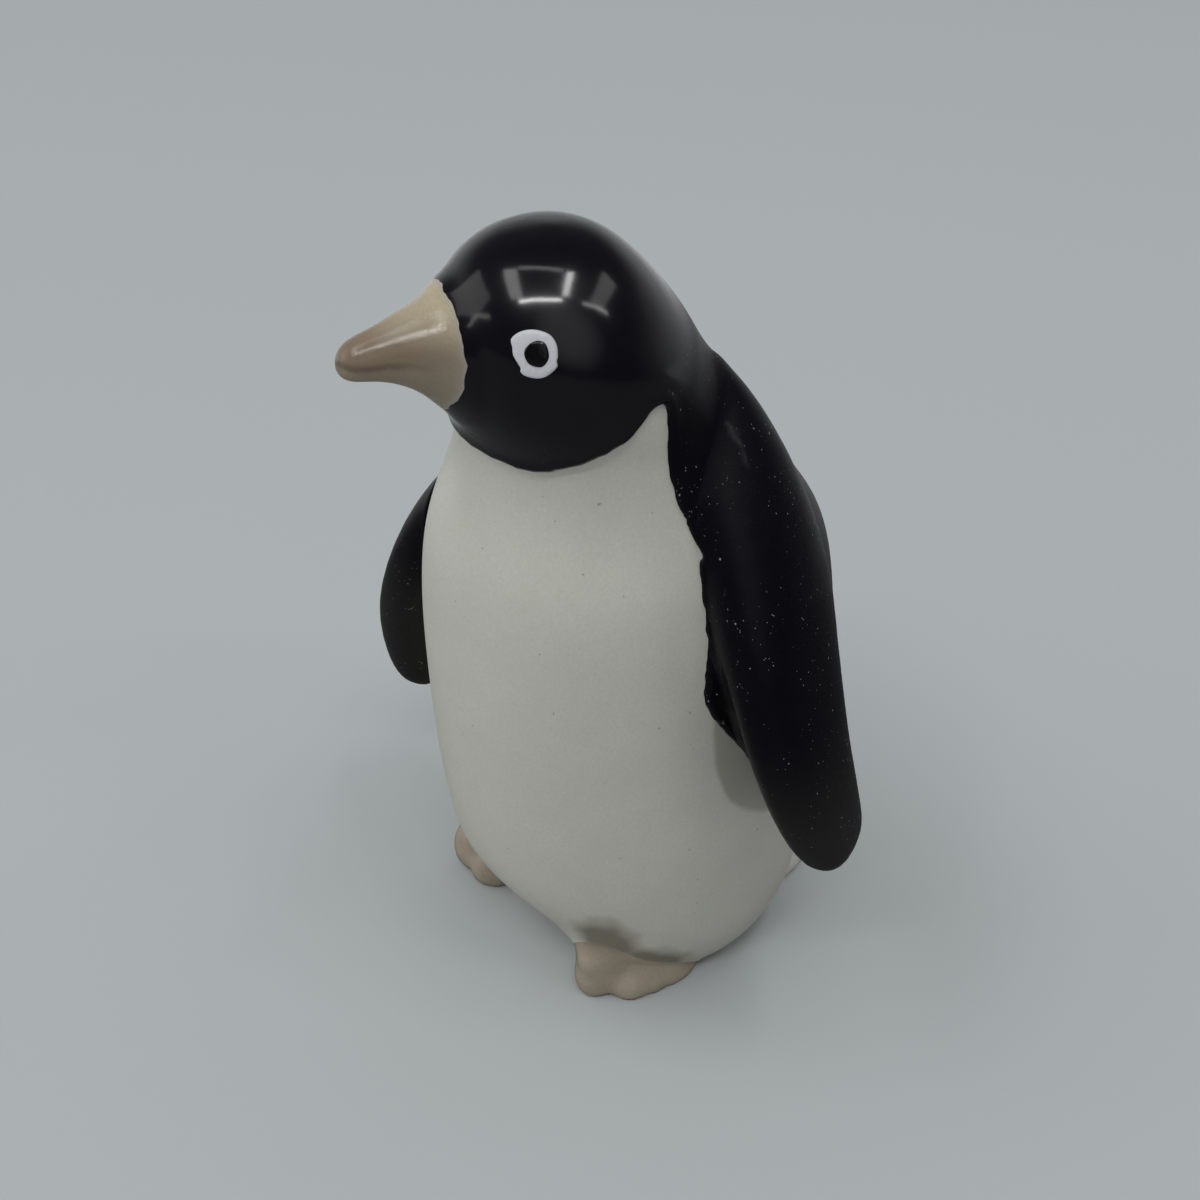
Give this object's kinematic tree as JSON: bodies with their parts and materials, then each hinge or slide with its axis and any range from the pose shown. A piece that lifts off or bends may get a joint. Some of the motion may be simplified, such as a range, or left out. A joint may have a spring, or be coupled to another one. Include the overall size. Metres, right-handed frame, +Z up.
{
  "type": "penguin figurine",
  "caption": "Small glazed ceramic figure of a standing penguin, white breast, black head, back and flippers, that rests on its flat base.",
  "frame": {"origin": "on the flat standing face under the body axis, at the middle of the belly's width", "axes": "+Z up from the standing face to the crown, -Y to where the breast faces, +X to the figure's left"},
  "size_m": [0.0453, 0.0376, 0.06],
  "materials": {
    "white_glaze": "satin",
    "black_glaze": "gloss",
    "beige_glaze": "satin",
    "eye_white": "gloss",
    "eye_black": "gloss"
  },
  "bodies": {
    "root": {"body_shell": "white_glaze", "black_coat": "black_glaze", "beak": "beige_glaze", "left_flipper": "black_glaze", "right_flipper": "black_glaze", "left_foot": "beige_glaze", "right_foot": "beige_glaze", "tail": "white_glaze", "left_eye_ring": "eye_white", "right_eye_ring": "eye_white", "left_pupil": "eye_black", "right_pupil": "eye_black"}
  },
  "joints": []
}
